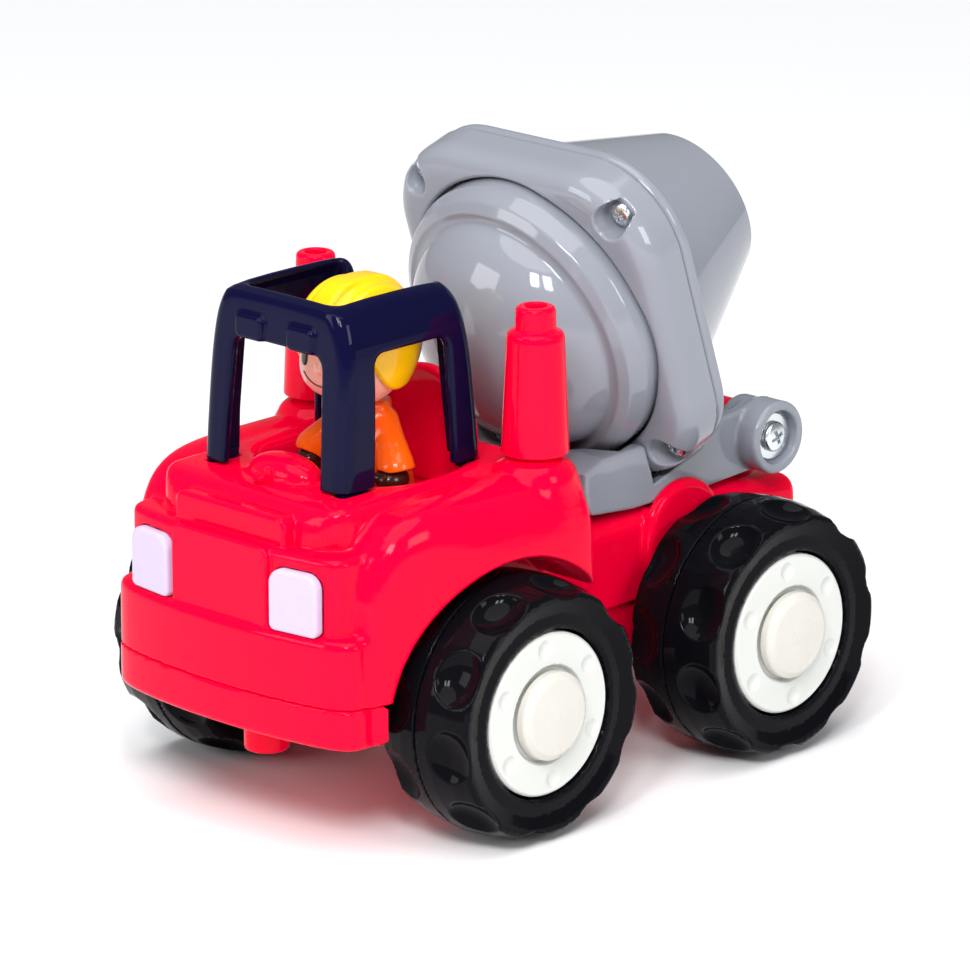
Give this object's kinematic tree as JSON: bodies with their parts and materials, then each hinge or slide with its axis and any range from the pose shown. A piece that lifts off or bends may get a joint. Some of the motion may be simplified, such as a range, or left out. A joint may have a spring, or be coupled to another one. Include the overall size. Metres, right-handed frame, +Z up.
{
  "type": "toy cement mixer",
  "caption": "Toy concrete mixer truck: red cab with an open navy roll cage and a press-down driver, big black wheels, a tipping bed and a drum that turns in a square frame.",
  "frame": {"origin": "on the floor midway along the length and width of the truck", "axes": "+Y towards the rear and the drum's mouth, +X towards the truck's left side, +Z up"},
  "size_m": [0.0978, 0.138, 0.1185],
  "materials": {
    "red_plastic": "gloss, moulded",
    "grey_plastic": "gloss, moulded",
    "navy_plastic": "high gloss, moulded",
    "black_tyre_plastic": "high gloss, moulded",
    "white_hub_plastic": "satin, moulded",
    "lamp_plastic": "gloss, pale lilac",
    "orange_plastic": "gloss, moulded",
    "skin_plastic": "gloss, moulded",
    "yellow_plastic": "gloss, moulded",
    "brown_plastic": "gloss, moulded",
    "natural_plastic": "satin, moulded",
    "steel": "bright zinc plated"
  },
  "bodies": {
    "chassis": {"cab_shell": "red_plastic", "roll_cage": "navy_plastic", "headlight_left": "lamp_plastic", "headlight_right": "lamp_plastic", "stack_left": "red_plastic", "stack_right": "red_plastic", "gearbox_left": "natural_plastic", "gearbox_right": "natural_plastic", "gearbox_screw_front": "steel", "gearbox_screw_rear": "steel", "chassis_pan": "red_plastic", "rear_body": "red_plastic", "chassis_screw_front": "steel", "chassis_screw_rear_left": "steel", "chassis_screw_rear_right": "steel", "pivot_screw_left": "steel", "pivot_screw_right": "steel", "pivot_washer_left": "steel", "pivot_washer_right": "steel", "return_spring": "steel"},
    "front_wheels": {"front_axle": "steel", "axle_gear": "natural_plastic", "tyre_inner_front_left": "black_tyre_plastic", "tyre_outer_front_left": "black_tyre_plastic", "hub_disc_front_left": "white_hub_plastic", "hub_cap_front_left": "white_hub_plastic", "tyre_inner_front_right": "black_tyre_plastic", "tyre_outer_front_right": "black_tyre_plastic", "hub_disc_front_right": "white_hub_plastic", "hub_cap_front_right": "white_hub_plastic"},
    "rear_wheels": {"rear_axle": "steel", "tyre_inner_rear_left": "black_tyre_plastic", "tyre_outer_rear_left": "black_tyre_plastic", "hub_disc_rear_left": "white_hub_plastic", "hub_cap_rear_left": "white_hub_plastic", "tyre_inner_rear_right": "black_tyre_plastic", "tyre_outer_rear_right": "black_tyre_plastic", "hub_disc_rear_right": "white_hub_plastic", "hub_cap_rear_right": "white_hub_plastic"},
    "driver": {"driver_body": "orange_plastic", "driver_head": "skin_plastic", "driver_helmet": "yellow_plastic", "driver_hand_left": "brown_plastic", "driver_hand_right": "brown_plastic", "press_plunger": "natural_plastic"},
    "winding_gear": {"winding_gear": "natural_plastic"},
    "swing_pinion": {"swing_pinion": "natural_plastic"},
    "bed": {"tilt_bed": "grey_plastic", "frame_front": "grey_plastic", "frame_rear": "grey_plastic", "frame_screw_upper_left": "steel", "frame_screw_upper_right": "steel", "frame_screw_lower_left": "steel", "frame_screw_lower_right": "steel", "frame_foot_screw_left": "steel", "frame_foot_screw_right": "steel"},
    "drum": {"drum_front": "grey_plastic", "drum_rear": "grey_plastic"}
  },
  "joints": [
    {"name": "front_axle_spin", "type": "hinge", "parent": "chassis", "child": "front_wheels", "pos_m": [0, -0.02765, 0.025], "axis": [1, 0, 0], "continuous": true},
    {"name": "rear_axle_spin", "type": "hinge", "parent": "chassis", "child": "rear_wheels", "pos_m": [0, 0.03965, 0.025], "axis": [1, 0, 0], "continuous": true},
    {"name": "driver_press", "type": "slide", "parent": "chassis", "child": "driver", "axis": [0, 0, -1], "range_m": [0, 0.006], "stiffness_N_per_m": 300, "springref_m": -0.003, "deforming": ["return_spring"]},
    {"name": "winding_gear_spin", "type": "hinge", "parent": "chassis", "child": "winding_gear", "pos_m": [0, -0.0195, 0.038], "axis": [1, 0, 0], "range_deg": [0, 87]},
    {"name": "swing_pinion_spin", "type": "hinge", "parent": "chassis", "child": "swing_pinion", "pos_m": [0, -0.01862, 0.02789], "axis": [1, 0, 0], "range_deg": [-192, 0]},
    {"name": "bed_tilt", "type": "hinge", "parent": "chassis", "child": "bed", "pos_m": [0, 0.0574, 0.0566], "axis": [-1, 0, 0], "range_deg": [0, 55]},
    {"name": "drum_spin", "type": "hinge", "parent": "bed", "child": "drum", "pos_m": [0, 0.0172, 0.0835], "axis": [0, 0.9489, 0.3156], "continuous": true}
  ],
  "couplings": [
    {"joint": "winding_gear_spin", "follows": "driver_press", "rad_per_m": 250},
    {"joint": "swing_pinion_spin", "follows": "driver_press", "rad_per_m": -555.56}
  ]
}
